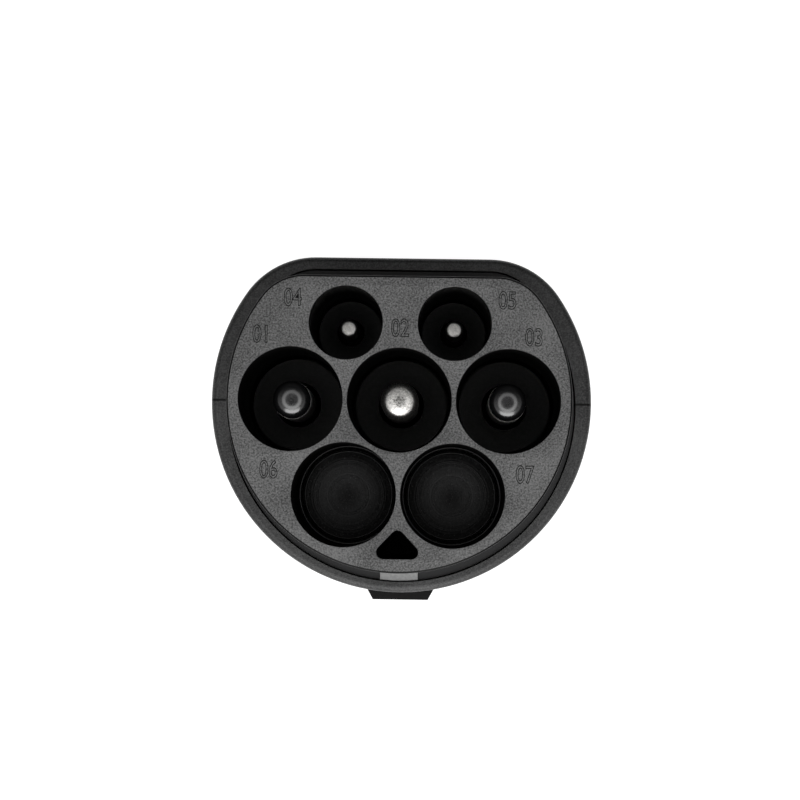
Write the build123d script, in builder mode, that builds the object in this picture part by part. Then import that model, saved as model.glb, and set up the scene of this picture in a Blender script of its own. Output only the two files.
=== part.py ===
from build123d import *
import os
from collections import namedtuple
from math import cos, radians, sin, sqrt

# EV charging adapter, millimetres. It stands on the rim of its charger end, nose up:
# +Z runs along the contacts to the nose face, +Y points to the flat of the D section,
# and the origin is on the earth contact's axis in the plane of the rear rim.

os.makedirs("parts", exist_ok=True)

# Lengths along the axis
inlet_depth = 34.0
ledge_thickness = 2.0
shell_length = 52.0
nose_proud = 30.0
seam_z = inlet_depth + ledge_thickness
shell_front_z = seam_z + shell_length
face_z = shell_front_z + nose_proud

# Wells of the nose and the walls between them, which set the contact layout
power_well_radius = 8.1
signal_well_radius = 5.7
well_depth = 31.0
well_web = 0.8
row_web = 0.9
contact_pitch = 2 * power_well_radius + well_web
small_row_y = sqrt((power_well_radius + signal_well_radius + row_web) ** 2 - (contact_pitch / 2) ** 2)
blank_row_y = -sqrt((2 * power_well_radius + row_web) ** 2 - (contact_pitch / 2) ** 2)
line_at = (-contact_pitch, 0)
neutral_at = (contact_pitch, 0)
earth_at = (0, 0)
detect_at = (-contact_pitch / 2, small_row_y)
pilot_at = (contact_pitch / 2, small_row_y)
blanks_at = [(-contact_pitch / 2, blank_row_y), (contact_pitch / 2, blank_row_y)]
power_at = [line_at, earth_at, neutral_at]
signal_at = [detect_at, pilot_at]

# Outline of the nose: a circle cut by a flat, with rounded corners between the two
nose_wall = 1.9
nose_top_wall = 1.7
nose_corner = 8.2
nose_radius = contact_pitch + power_well_radius + nose_wall
nose_flat_y = small_row_y + signal_well_radius + nose_top_wall

# Outline of the mouth in the body's front
mouth_gap = 1.8
mouth_top_gap = 3.1
mouth_centre_y = -0.3
mouth_corner = 8.5
mouth_radius = nose_radius + mouth_gap
mouth_flat_y = nose_flat_y + mouth_top_gap

# Outline of the body
mouth_wall = 2.6
mouth_top_wall = 2.0
body_centre_y = 0.6
body_corner = 13.9
body_radius = mouth_radius + mouth_wall
body_flat_y = mouth_flat_y + mouth_top_wall
shell_wall = 2.0
seam_y = body_centre_y

# Clearances
slip = 0.05
seat_gap = 0.25

# Nose and the flange behind it
nose_edge_chamfer = 0.4
nose_flange_thickness = 4.0
drain_width = 6.6
drain_height = 4.6
drain_corner = 1.0
drain_wall = 2.3
drain_bottom_y = drain_wall - nose_radius
pilot_hole_depth = 6.0

# Mouth of the body
mouth_depth = 5.0
rib_thickness = 2.0
gasket_recess = 0.6
key_width = 6.2
key_proud = 0.3
rib_front_z = shell_front_z - mouth_depth
nose_flange_z = rib_front_z - rib_thickness
nose_back_z = nose_flange_z - nose_flange_thickness

# Contact carrier
carrier_thickness = 4.0
boss_gap_power = 0.65
boss_gap_signal = 0.5
plug_rim_radius = 0.9
plug_stem_radius = 4.0
carrier_z = nose_back_z - carrier_thickness
well_floor_z = face_z - well_depth

# Contacts: pins at both ends of a thicker shank, with a collar on it
power_radius = 3.0
signal_radius = 1.5
shank_step = 0.5
shank_play = 0.25
shank_recess = 2.0
power_collar_radius = 5.0
signal_collar_radius = 3.5
collar_thickness = 4.0
power_tip_depth = 4.0
earth_tip_depth = 5.0
signal_tip_depth = 18.0
cap_length = 4.5
cap_radius = 2.7
cap_round = 1.1
spigot_radius = 1.4
spigot_length = 3.2
contact_round = 0.9
rear_power_tip_z = 10.0
rear_earth_tip_z = 8.0
rear_signal_tip_z = 17.0
power_shank = power_radius + shank_step
signal_shank = signal_radius + shank_step
collar_z = carrier_z - collar_thickness

# Clamp plate behind the contact collars
clamp_thickness = 4.0
clamp_margin = 0.4
clamp_top_margin = 2.0
clamp_corner = 5.0
clamp_post_radius = 3.0
clamp_post_rise = 1.8
clamp_radius = contact_pitch + power_collar_radius + clamp_margin
clamp_flat_y = small_row_y + signal_collar_radius + clamp_top_margin
clamp_screws_at = [(0, small_row_y + clamp_post_rise), (0, blank_row_y)]
clamp_z = collar_z - clamp_thickness

# Screws
screw_radius = 1.5
screw_head_radius = 2.6
screw_head_height = 2.2
screw_recess_radius = 1.0
screw_recess_depth = 1.2
screw_chamfer = 0.4
carrier_screw_wall = 3.0
carrier_screw_angle = 34.0
carrier_screw_circle = nose_radius - carrier_screw_wall
carrier_screws_at = [
    (
        side * carrier_screw_circle * cos(radians(carrier_screw_angle)),
        row * carrier_screw_circle * sin(radians(carrier_screw_angle)),
    )
    for side in (-1, 1)
    for row in (-1, 1)
]

# Inlet, the charger end
collar_wall = 2.4
groove_width = 3.4
insert_plate = 4.0
island_recess = 2.5
rear_power_well_radius = 6.9
rear_signal_well_radius = 5.4
rim_width = 4.0
rim_proud = 0.8
spigot_wall = 2.2
inlet_spigot_length = 10.0
bead_offset = 5.0
bead_height = 2.4
bead_proud = 1.0
inlet_edge_chamfer = 0.8
insert_back_z = seam_z + insert_plate
spigot_top_z = seam_z + inlet_spigot_length

# Seals
ring_section = 1.8
ring_height = 2.0
retainer_web = 1.0
retainer_margin = 1.5
inlet_seal_width = 1.6
inlet_seal_depth = 1.2
inlet_seal_offset = 8.0

# Coding board
board_thickness = 1.6
board_gap = 9.0
board_side_margin = 4.55
board_end_margin = 5.0
board_corner = 1.5
board_x = -contact_pitch / 4
board_y = small_row_y / 2
board_width = contact_pitch / 2 + 2 * board_side_margin
board_height = small_row_y + 2 * board_end_margin
resistor_radius = 1.2
resistor_length = 6.5
resistor_offset = 4.75
resistor_drop = 1.0
resistor_x = board_x + resistor_offset
resistor_y = small_row_y - resistor_drop
board_z = clamp_z - board_gap

# Shell screws, driven up from the underside
post_radius = 2.6
post_margin = 1.1
post_x = body_radius - shell_wall - post_radius - post_margin
rear_post_gap = 4.5
front_post_gap = 7.5
head_seat_y = -10.0
thread_depth = 11.0
head_well_radius = 2.9
head_well_wall = 1.2
head_seat_thickness = 1.5
rear_post_z = spigot_top_z + rear_post_gap
front_post_z = carrier_z - front_post_gap

# Outside of the shells
shell_edge_radius = 1.0
keel_top_width = 11.7
keel_bottom_width = 9.5
keel_proud = 2.0
keel_bottom_y = seam_y - body_radius - keel_proud
keel_offset = 3.0
keel_length = 23.0
grip_count = 7
grip_pitch = 5.0
grip_width = 1.6
grip_depth = 0.5
grip_offset = 10.0
grip_half_height = 11.0

DShape = namedtuple("DShape", "radius centre_y flat_y corner")
nose_shape = DShape(nose_radius, 0, nose_flat_y, nose_corner)
mouth_shape = DShape(mouth_radius, mouth_centre_y, mouth_flat_y, mouth_corner)
body_shape = DShape(body_radius, body_centre_y, body_flat_y, body_corner)
clamp_shape = DShape(clamp_radius, 0, clamp_flat_y, clamp_corner)


def grown(shape, amount):
    """The D outline moved outwards by an amount, or inwards where it is negative."""
    return DShape(
        shape.radius + amount,
        shape.centre_y,
        shape.flat_y + amount,
        shape.corner + amount,
    )


def d_face(shape, z):
    """The face of a D outline at height z."""
    with BuildSketch(Plane.XY.offset(z)) as outline:
        with Locations((0, shape.centre_y)):
            Circle(shape.radius)
        with Locations((0, shape.flat_y)):
            Rectangle(
                4 * shape.radius,
                2 * shape.radius,
                align=(Align.CENTER, Align.MIN),
                mode=Mode.SUBTRACT,
            )
        fillet(outline.vertices().sort_by(Axis.Y)[-2:], shape.corner)
    return outline.sketch


def discs(z, radius, places):
    """Round faces at height z."""
    with BuildSketch(Plane.XY.offset(z)) as sketch:
        with Locations(*places):
            Circle(radius)
    return sketch.sketch


def nose_holes(z):
    """The faces of the drain hole and the seven wells at height z."""
    with BuildSketch(Plane.XY.offset(z)) as holes:
        with BuildLine():
            Polyline(
                (0, drain_bottom_y + drain_height),
                (drain_width / 2, drain_bottom_y),
                (-drain_width / 2, drain_bottom_y),
                close=True,
            )
        make_face()
        fillet(holes.vertices(), drain_corner)
        with Locations(*power_at, *blanks_at):
            Circle(power_well_radius)
        with Locations(*signal_at):
            Circle(signal_well_radius)
    return holes.sketch


def save(piece, name):
    """Labels a finished piece and writes it."""
    piece.label = name
    export_step(piece, f"parts/{name}.step")


groove_shape = grown(body_shape, -collar_wall)
island_shape = grown(groove_shape, -groove_width)
cavity_shape = grown(body_shape, -shell_wall)
spigot_shape = grown(cavity_shape, -slip)
spigot_bore_shape = grown(spigot_shape, -spigot_wall)

# Nose housing: one moulding with seven wells and a drain hole right through it
with BuildPart() as nose_housing:
    extrude(d_face(nose_shape, nose_flange_z), amount=face_z - nose_flange_z)
    chamfer(nose_housing.faces().sort_by(Axis.Z)[-1].edges(), nose_edge_chamfer)
    extrude(nose_holes(nose_flange_z), amount=face_z - nose_flange_z, mode=Mode.SUBTRACT)
    extrude(
        discs(nose_flange_z, screw_radius + slip, carrier_screws_at),
        amount=pilot_hole_depth,
        mode=Mode.SUBTRACT,
    )
save(nose_housing.part, "nose_housing")

# Nose flange: a plate screwed to the root of the nose, which the shells' rib holds back
with BuildPart() as nose_flange:
    extrude(d_face(spigot_shape, nose_back_z), amount=nose_flange_thickness)
    extrude(nose_holes(nose_back_z), amount=nose_flange_thickness, mode=Mode.SUBTRACT)
    extrude(
        discs(nose_back_z, screw_radius + slip, carrier_screws_at),
        amount=nose_flange_thickness,
        mode=Mode.SUBTRACT,
    )
save(nose_flange.part, "nose_flange")

# Nose gasket: a rubber ring between the nose and the mouth of the shells, notched for the key
gasket_top_z = shell_front_z - gasket_recess
with BuildPart() as nose_gasket:
    extrude(d_face(grown(mouth_shape, -seat_gap), rib_front_z), amount=gasket_top_z - rib_front_z)
    extrude(
        d_face(grown(nose_shape, slip), rib_front_z),
        amount=gasket_top_z - rib_front_z,
        mode=Mode.SUBTRACT,
    )
    with BuildSketch(Plane.XY.offset(rib_front_z)):
        Rectangle(key_width + 2 * slip, body_radius, align=(Align.CENTER, Align.MAX))
    extrude(amount=gasket_top_z - rib_front_z, mode=Mode.SUBTRACT)
save(nose_gasket.part, "nose_gasket")

# Locating key: fills the notches in the gasket and in the rib, so the nose can't turn
with BuildPart() as locating_key:
    with BuildSketch(Plane.XY.offset(nose_flange_z)) as key:
        Rectangle(key_width, body_radius, align=(Align.CENTER, Align.MAX))
        add(d_face(grown(mouth_shape, -seat_gap), 0), mode=Mode.INTERSECT)
        add(d_face(grown(nose_shape, slip), 0), mode=Mode.SUBTRACT)
    extrude(amount=gasket_top_z + key_proud - nose_flange_z)
save(locating_key.part, "locating_key")

# Contact carrier: a plate behind the flange, with a boss up each well that has a contact
with BuildPart() as contact_carrier:
    extrude(d_face(grown(nose_shape, -slip), carrier_z), amount=carrier_thickness)
    extrude(
        discs(nose_back_z, power_well_radius - boss_gap_power, power_at),
        amount=well_floor_z - nose_back_z,
    )
    extrude(
        discs(nose_back_z, signal_well_radius - boss_gap_signal, signal_at),
        amount=well_floor_z - nose_back_z,
    )
    extrude(
        discs(carrier_z, power_shank + shank_play, power_at),
        amount=well_floor_z - carrier_z,
        mode=Mode.SUBTRACT,
    )
    extrude(
        discs(carrier_z, signal_shank + shank_play, signal_at),
        amount=well_floor_z - carrier_z,
        mode=Mode.SUBTRACT,
    )
    extrude(
        discs(carrier_z, plug_stem_radius + slip, blanks_at),
        amount=carrier_thickness,
        mode=Mode.SUBTRACT,
    )
    extrude(
        discs(carrier_z, screw_radius + slip, carrier_screws_at + clamp_screws_at),
        amount=carrier_thickness,
        mode=Mode.SUBTRACT,
    )
save(contact_carrier.part, "contact_carrier")

# Blanking plugs: close the two wells that have no contact
with BuildPart() as blank_plugs:
    extrude(
        discs(nose_back_z, power_well_radius - boss_gap_power, blanks_at),
        amount=well_floor_z - nose_back_z,
    )
    fillet(blank_plugs.faces().sort_by(Axis.Z)[-2:].edges(), plug_rim_radius)
    extrude(discs(carrier_z, plug_stem_radius, blanks_at), amount=carrier_thickness)
save(blank_plugs.part, "blank_plugs")

# Clamp plate: its posts stand on the carrier and its face holds the contact collars
with BuildPart() as clamp_plate:
    extrude(d_face(clamp_shape, clamp_z), amount=clamp_thickness)
    extrude(discs(collar_z, clamp_post_radius, clamp_screws_at), amount=collar_thickness)
    extrude(discs(clamp_z, power_shank + slip, power_at), amount=clamp_thickness, mode=Mode.SUBTRACT)
    extrude(discs(clamp_z, signal_shank + slip, signal_at), amount=clamp_thickness, mode=Mode.SUBTRACT)
    extrude(
        discs(clamp_z, screw_radius + slip, clamp_screws_at),
        amount=clamp_thickness + collar_thickness,
        mode=Mode.SUBTRACT,
    )
save(clamp_plate.part, "clamp_plate")


def screw_group(places, seat_z, length):
    """Pan-head screws with their heads below seat_z and their shanks pointing up."""
    with BuildPart() as screws:
        extrude(discs(seat_z - screw_head_height, screw_head_radius, places), amount=screw_head_height)
        chamfer(screws.edges().group_by(Axis.Z)[0], screw_chamfer)
        extrude(discs(seat_z, screw_radius, places), amount=length)
        extrude(
            discs(seat_z - screw_head_height, screw_recess_radius, places),
            amount=screw_recess_depth,
            mode=Mode.SUBTRACT,
        )
    return screws.part


# Screws that hold the carrier and the flange to the nose, and the clamp plate to the carrier
carrier_screw_length = carrier_thickness + nose_flange_thickness + pilot_hole_depth - screw_recess_depth
save(screw_group(carrier_screws_at, carrier_z, carrier_screw_length), "carrier_screws")
clamp_screw_length = clamp_thickness + collar_thickness + carrier_thickness - slip
save(screw_group(clamp_screws_at, clamp_z, clamp_screw_length), "clamp_screws")

# Contacts: turned rods with a rounded pin at each end
ContactSize = namedtuple("ContactSize", "place radius collar rear_tip_z front_tip_z capped")
power_top_z = face_z - power_tip_depth - cap_length
contacts = {
    "line_contact": ContactSize(
        line_at, power_radius, power_collar_radius, rear_power_tip_z, power_top_z, True
    ),
    "neutral_contact": ContactSize(
        neutral_at, power_radius, power_collar_radius, rear_power_tip_z, power_top_z, True
    ),
    "earth_contact": ContactSize(
        earth_at, power_radius, power_collar_radius, rear_earth_tip_z, face_z - earth_tip_depth, False
    ),
    "detect_contact": ContactSize(
        detect_at, signal_radius, signal_collar_radius, rear_signal_tip_z, face_z - signal_tip_depth, False
    ),
    "pilot_contact": ContactSize(
        pilot_at, signal_radius, signal_collar_radius, rear_signal_tip_z, face_z - signal_tip_depth, False
    ),
}
shank_front_z = well_floor_z - shank_recess
for name, size in contacts.items():
    tip_round = contact_round * size.radius / power_radius
    with BuildPart() as contact:
        extrude(
            discs(size.rear_tip_z, size.radius, [size.place]),
            amount=size.front_tip_z - size.rear_tip_z,
        )
        fillet(contact.edges().group_by(Axis.Z)[0], tip_round)
        if size.capped:
            extrude(discs(size.front_tip_z, spigot_radius, [size.place]), amount=spigot_length)
        else:
            fillet(contact.edges().group_by(Axis.Z)[-1], tip_round)
        extrude(
            discs(inlet_depth, size.radius + shank_step, [size.place]),
            amount=shank_front_z - inlet_depth,
        )
        extrude(discs(collar_z, size.collar, [size.place]), amount=collar_thickness)
    save(contact.part, name)

# Finger-safe caps on the tips of the line and neutral contacts
for name, place in {"line_tip_cap": line_at, "neutral_tip_cap": neutral_at}.items():
    with BuildPart() as cap:
        extrude(discs(power_top_z, cap_radius, [place]), amount=cap_length)
        fillet(cap.edges().group_by(Axis.Z)[-1], cap_round)
        extrude(
            discs(power_top_z, spigot_radius + slip, [place]),
            amount=spigot_length + slip,
            mode=Mode.SUBTRACT,
        )
    save(cap.part, name)

# Coding board, threaded on the earth and detect contacts, with its resistor
with BuildPart() as coding_board:
    with BuildSketch(Plane.XY.offset(board_z)):
        with Locations((board_x, board_y)):
            RectangleRounded(board_width, board_height, board_corner)
        with Locations(earth_at):
            Circle(power_shank + slip, mode=Mode.SUBTRACT)
        with Locations(detect_at):
            Circle(signal_shank + slip, mode=Mode.SUBTRACT)
    extrude(amount=board_thickness)
save(coding_board.part, "coding_board")

resistor_z = board_z + board_thickness
with BuildPart() as coding_resistor:
    with BuildSketch(Plane.YZ.offset(resistor_x - resistor_length / 2)):
        with Locations((resistor_y, resistor_z + resistor_radius)):
            Circle(resistor_radius)
    extrude(amount=resistor_length)
save(coding_resistor.part, "coding_resistor")

# Inlet housing: a collar for the gun, a ledge at its bottom, and a spigot with a snap bead
with BuildPart() as inlet_housing:
    extrude(d_face(body_shape, 0), amount=seam_z)
    extrude(d_face(grown(body_shape, rim_proud), 0), amount=rim_width)
    chamfer(inlet_housing.faces().sort_by(Axis.Z)[0].edges(), inlet_edge_chamfer)
    extrude(d_face(groove_shape, 0), amount=inlet_depth, mode=Mode.SUBTRACT)
    extrude(d_face(spigot_shape, seam_z), amount=inlet_spigot_length)
    extrude(d_face(grown(spigot_shape, bead_proud), seam_z + bead_offset), amount=bead_height)
    seal_z = seam_z + inlet_seal_offset
    seal_seat_shape = grown(spigot_shape, -inlet_seal_depth)
    extrude(d_face(cavity_shape, seal_z), amount=inlet_seal_width, mode=Mode.SUBTRACT)
    extrude(d_face(seal_seat_shape, seal_z), amount=inlet_seal_width)
    extrude(d_face(spigot_bore_shape, seam_z), amount=inlet_spigot_length, mode=Mode.SUBTRACT)
    extrude(d_face(grown(island_shape, slip), inlet_depth), amount=ledge_thickness, mode=Mode.SUBTRACT)
save(inlet_housing.part, "inlet_housing")

# Inlet insert: an island with seven wells, hung from a plate that lies on the ledge
with BuildPart() as inlet_insert:
    extrude(d_face(island_shape, island_recess), amount=seam_z - island_recess)
    extrude(d_face(grown(spigot_bore_shape, -slip), seam_z), amount=insert_plate)
    extrude(
        discs(island_recess, rear_power_well_radius, power_at + blanks_at),
        amount=inlet_depth - island_recess,
        mode=Mode.SUBTRACT,
    )
    extrude(
        discs(island_recess, rear_signal_well_radius, signal_at),
        amount=inlet_depth - island_recess,
        mode=Mode.SUBTRACT,
    )
    extrude(
        discs(inlet_depth, power_shank + slip, power_at),
        amount=insert_back_z - inlet_depth,
        mode=Mode.SUBTRACT,
    )
    extrude(
        discs(inlet_depth, signal_shank + slip, signal_at),
        amount=insert_back_z - inlet_depth,
        mode=Mode.SUBTRACT,
    )
save(inlet_insert.part, "inlet_insert")

# Seal round the inlet's spigot, inside the shells
with BuildPart() as inlet_seal:
    extrude(d_face(spigot_shape, seal_z), amount=inlet_seal_width)
    extrude(d_face(grown(seal_seat_shape, slip), seal_z), amount=inlet_seal_width, mode=Mode.SUBTRACT)
save(inlet_seal.part, "inlet_seal")

# Sealing rings on the contacts, where they come out of the insert
with BuildPart() as contact_seals:
    for shank, places in ((power_shank, power_at), (signal_shank, signal_at)):
        extrude(discs(insert_back_z, shank + slip + ring_section, places), amount=ring_height)
        extrude(discs(insert_back_z, shank + slip, places), amount=ring_height, mode=Mode.SUBTRACT)
save(contact_seals.part, "contact_seals")

# Seal retainer: a plate on the insert with a pocket for each ring
with BuildPart() as seal_retainer:
    retainer_thickness = ring_height + retainer_web
    extrude(d_face(grown(spigot_bore_shape, -retainer_margin), insert_back_z), amount=retainer_thickness)
    for shank, places in ((power_shank, power_at), (signal_shank, signal_at)):
        extrude(
            discs(insert_back_z, shank + ring_section + 2 * slip, places),
            amount=ring_height,
            mode=Mode.SUBTRACT,
        )
        extrude(discs(insert_back_z, shank + slip, places), amount=retainer_thickness, mode=Mode.SUBTRACT)
save(seal_retainer.part, "seal_retainer")

# Screw posts of the shells: from wall to wall, wider round the wells of the screw heads
post_places = [(side * post_x, z) for side in (-1, 1) for z in (rear_post_z, front_post_z)]
seam_plane = Plane.XZ.offset(-seam_y)
head_seat_plane = Plane.XZ.offset(-head_seat_y)
with BuildPart() as posts:
    with BuildSketch(seam_plane):
        with Locations(*post_places):
            Circle(post_radius)
    extrude(amount=body_radius, both=True)
    with BuildSketch(head_seat_plane.offset(-head_seat_thickness)):
        with Locations(*post_places):
            Circle(head_well_radius + head_well_wall)
    extrude(amount=body_radius)
    extrude(
        d_face(grown(body_shape, -shell_edge_radius), seam_z),
        amount=shell_length,
        mode=Mode.INTERSECT,
    )

# Body: both shells start as one walled D section, and the seam plane parts them
with BuildPart() as shells:
    extrude(d_face(body_shape, seam_z), amount=shell_length)
    fillet(shells.faces().sort_by(Axis.Z)[-1].edges(), shell_edge_radius)
    with BuildSketch(Plane.XY.offset(seam_z + keel_offset)):
        with BuildLine():
            Polyline(
                (-keel_bottom_width / 2, keel_bottom_y),
                (keel_bottom_width / 2, keel_bottom_y),
                (keel_top_width / 2, seam_y - body_radius),
                (keel_top_width / 2, seam_y),
                (-keel_top_width / 2, seam_y),
                (-keel_top_width / 2, seam_y - body_radius),
                close=True,
            )
        make_face()
    extrude(amount=keel_length)
    for step in range(grip_count):
        with BuildSketch(Plane.XY.offset(seam_z + grip_offset + step * grip_pitch)):
            with Locations((0, seam_y)):
                Rectangle(4 * body_radius, 2 * grip_half_height)
            add(d_face(grown(body_shape, -grip_depth), 0), mode=Mode.SUBTRACT)
        extrude(amount=grip_width, mode=Mode.SUBTRACT)
    extrude(d_face(cavity_shape, seam_z), amount=nose_flange_z - seam_z, mode=Mode.SUBTRACT)
    extrude(d_face(grown(nose_shape, slip), nose_flange_z), amount=rib_thickness, mode=Mode.SUBTRACT)
    extrude(d_face(mouth_shape, rib_front_z), amount=mouth_depth, mode=Mode.SUBTRACT)
    with BuildSketch(Plane.XY.offset(nose_flange_z)):
        Rectangle(
            key_width + 2 * slip,
            mouth_radius - mouth_centre_y,
            align=(Align.CENTER, Align.MAX),
        )
    extrude(amount=rib_thickness, mode=Mode.SUBTRACT)
    extrude(
        d_face(grown(spigot_shape, bead_proud + slip), seam_z + bead_offset - slip),
        amount=bead_height + 2 * slip,
        mode=Mode.SUBTRACT,
    )
    add(posts.part)
    with BuildSketch(head_seat_plane):
        with Locations(*post_places):
            Circle(head_well_radius)
    extrude(amount=body_radius, mode=Mode.SUBTRACT)
    with BuildSketch(head_seat_plane):
        with Locations(*post_places):
            Circle(screw_radius + slip)
    extrude(amount=head_seat_y - seam_y - thread_depth, mode=Mode.SUBTRACT)

for name, keep in {"upper_shell": Keep.BOTTOM, "lower_shell": Keep.TOP}.items():
    with BuildPart() as half:
        add(shells.part)
        split(bisect_by=seam_plane, keep=keep)
    save(half.part, name)

# Screws that draw the lower shell up to the upper one
shell_screw_length = seam_y - head_seat_y + thread_depth - screw_recess_depth
with BuildPart() as shell_screws:
    with BuildSketch(head_seat_plane):
        with Locations(*post_places):
            Circle(screw_head_radius)
    extrude(amount=screw_head_height)
    chamfer(shell_screws.edges().group_by(Axis.Y)[0], screw_chamfer)
    with BuildSketch(head_seat_plane):
        with Locations(*post_places):
            Circle(screw_radius)
    extrude(amount=-shell_screw_length)
    with BuildSketch(head_seat_plane.offset(screw_head_height)):
        with Locations(*post_places):
            Circle(screw_recess_radius)
    extrude(amount=-screw_recess_depth, mode=Mode.SUBTRACT)
save(shell_screws.part, "shell_screws")
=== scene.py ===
import math

import bmesh
import bpy
from mathutils import Matrix, Vector
from mathutils.geometry import tessellate_polygon


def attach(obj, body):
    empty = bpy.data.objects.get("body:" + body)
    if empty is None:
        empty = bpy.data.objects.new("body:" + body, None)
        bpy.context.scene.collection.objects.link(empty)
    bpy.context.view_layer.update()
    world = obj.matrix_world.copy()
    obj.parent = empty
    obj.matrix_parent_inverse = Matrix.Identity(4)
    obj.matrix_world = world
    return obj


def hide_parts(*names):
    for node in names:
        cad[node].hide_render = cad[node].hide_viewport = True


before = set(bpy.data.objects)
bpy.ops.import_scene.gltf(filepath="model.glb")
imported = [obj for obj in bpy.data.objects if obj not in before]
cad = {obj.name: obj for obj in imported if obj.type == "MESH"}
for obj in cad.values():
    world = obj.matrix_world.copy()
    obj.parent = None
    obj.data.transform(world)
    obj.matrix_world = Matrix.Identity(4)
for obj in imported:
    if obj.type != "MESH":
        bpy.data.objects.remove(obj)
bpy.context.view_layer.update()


# Camera
# The photograph looks straight down the contacts from half a metre above the nose face,
# from a little right of the earth contact and below it, with the object turned by under a degree.
MM = 0.001
camera_place = Vector((5.57, -15.55, 603)) * MM
camera_aim = Vector((0.12, 0, 118)) * MM
camera_turn = math.radians(0.8)

backwards = (camera_place - camera_aim).normalized()
upwards = Matrix.Rotation(camera_turn, 3, backwards) @ Vector((0, 1, 0))
sideways = upwards.cross(backwards).normalized()
upwards = backwards.cross(sideways)
camera_data = bpy.data.cameras.new("camera")
camera_data.lens = 140.3
camera_data.sensor_width = 36
camera = bpy.data.objects.new("camera", camera_data)
camera.matrix_world = (
    Matrix.Translation(camera_place) @ Matrix((sideways, upwards, backwards)).transposed().to_4x4()
)
bpy.context.scene.collection.objects.link(camera)
bpy.context.scene.camera = camera


# Contacts
# Five rods turned from brass and silver plated. Lathe marks run round them, and the plating is
# dull from mating, with finely pitted tips. The real marks and pits are about half as wide as
# drawn, which is too fine to show.
pitch, small_row_y = 17.0, 11.993
power_pin_radius, signal_pin_radius = 3.0, 1.5
painted_shade_top_z, painted_shade_fade = 88.0, 4.0
tip_dome_radius = 6.25


def linear(hex_colour):
    """An sRGB hex colour as the linear colour that the shaders take."""
    channels = [int(hex_colour[i : i + 2], 16) / 255 for i in (1, 3, 5)]
    return [c / 12.92 if c <= 0.04045 else ((c + 0.055) / 1.055) ** 2.4 for c in channels] + [1]


def add_node(tree, kind, settings=None, inputs=None):
    """Adds a node with its settings, and sets or links its inputs."""
    node = tree.nodes.new(kind)
    for name, value in (settings or {}).items():
        setattr(node, name, value)
    for name, value in (inputs or {}).items():
        if isinstance(value, bpy.types.NodeSocket):
            tree.links.new(value, node.inputs[name])
        else:
            node.inputs[name].default_value = value
    return node


def start_material(name, **sockets):
    """A new material, with constant values on its shader's own sockets."""
    material = bpy.data.materials.new(name)
    material.use_nodes = True
    tree = material.node_tree
    shader = tree.nodes["Principled BSDF"]
    for socket, value in sockets.items():
        shader.inputs[socket.replace("_", " ")].default_value = value
    place = add_node(tree, "ShaderNodeTexCoord").outputs["Object"]
    return material, tree, shader, place


def radius_about(tree, place, x, y):
    """The offset in metres from the nearer of two upright axes, at x and -x, and its length."""
    spread = add_node(tree, "ShaderNodeSeparateXYZ", inputs={0: place})
    mirrored = add_node(tree, "ShaderNodeMath", {"operation": "ABSOLUTE"}, {0: spread.outputs["X"]})
    across = add_node(tree, "ShaderNodeMath", {"operation": "SUBTRACT"}, {0: mirrored.outputs[0], 1: x * MM})
    along = add_node(tree, "ShaderNodeMath", {"operation": "SUBTRACT"}, {0: spread.outputs["Y"], 1: y * MM})
    side = add_node(tree, "ShaderNodeMath", {"operation": "SIGN"}, {0: spread.outputs["X"]})
    outward = add_node(
        tree, "ShaderNodeMath", {"operation": "MULTIPLY"}, {0: across.outputs[0], 1: side.outputs[0]}
    )
    centred = add_node(
        tree, "ShaderNodeCombineXYZ", inputs={"X": outward.outputs[0], "Y": along.outputs[0]}
    )
    length = add_node(tree, "ShaderNodeVectorMath", {"operation": "LENGTH"}, {0: centred.outputs[0]})
    return centred.outputs[0], length.outputs["Value"]


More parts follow.
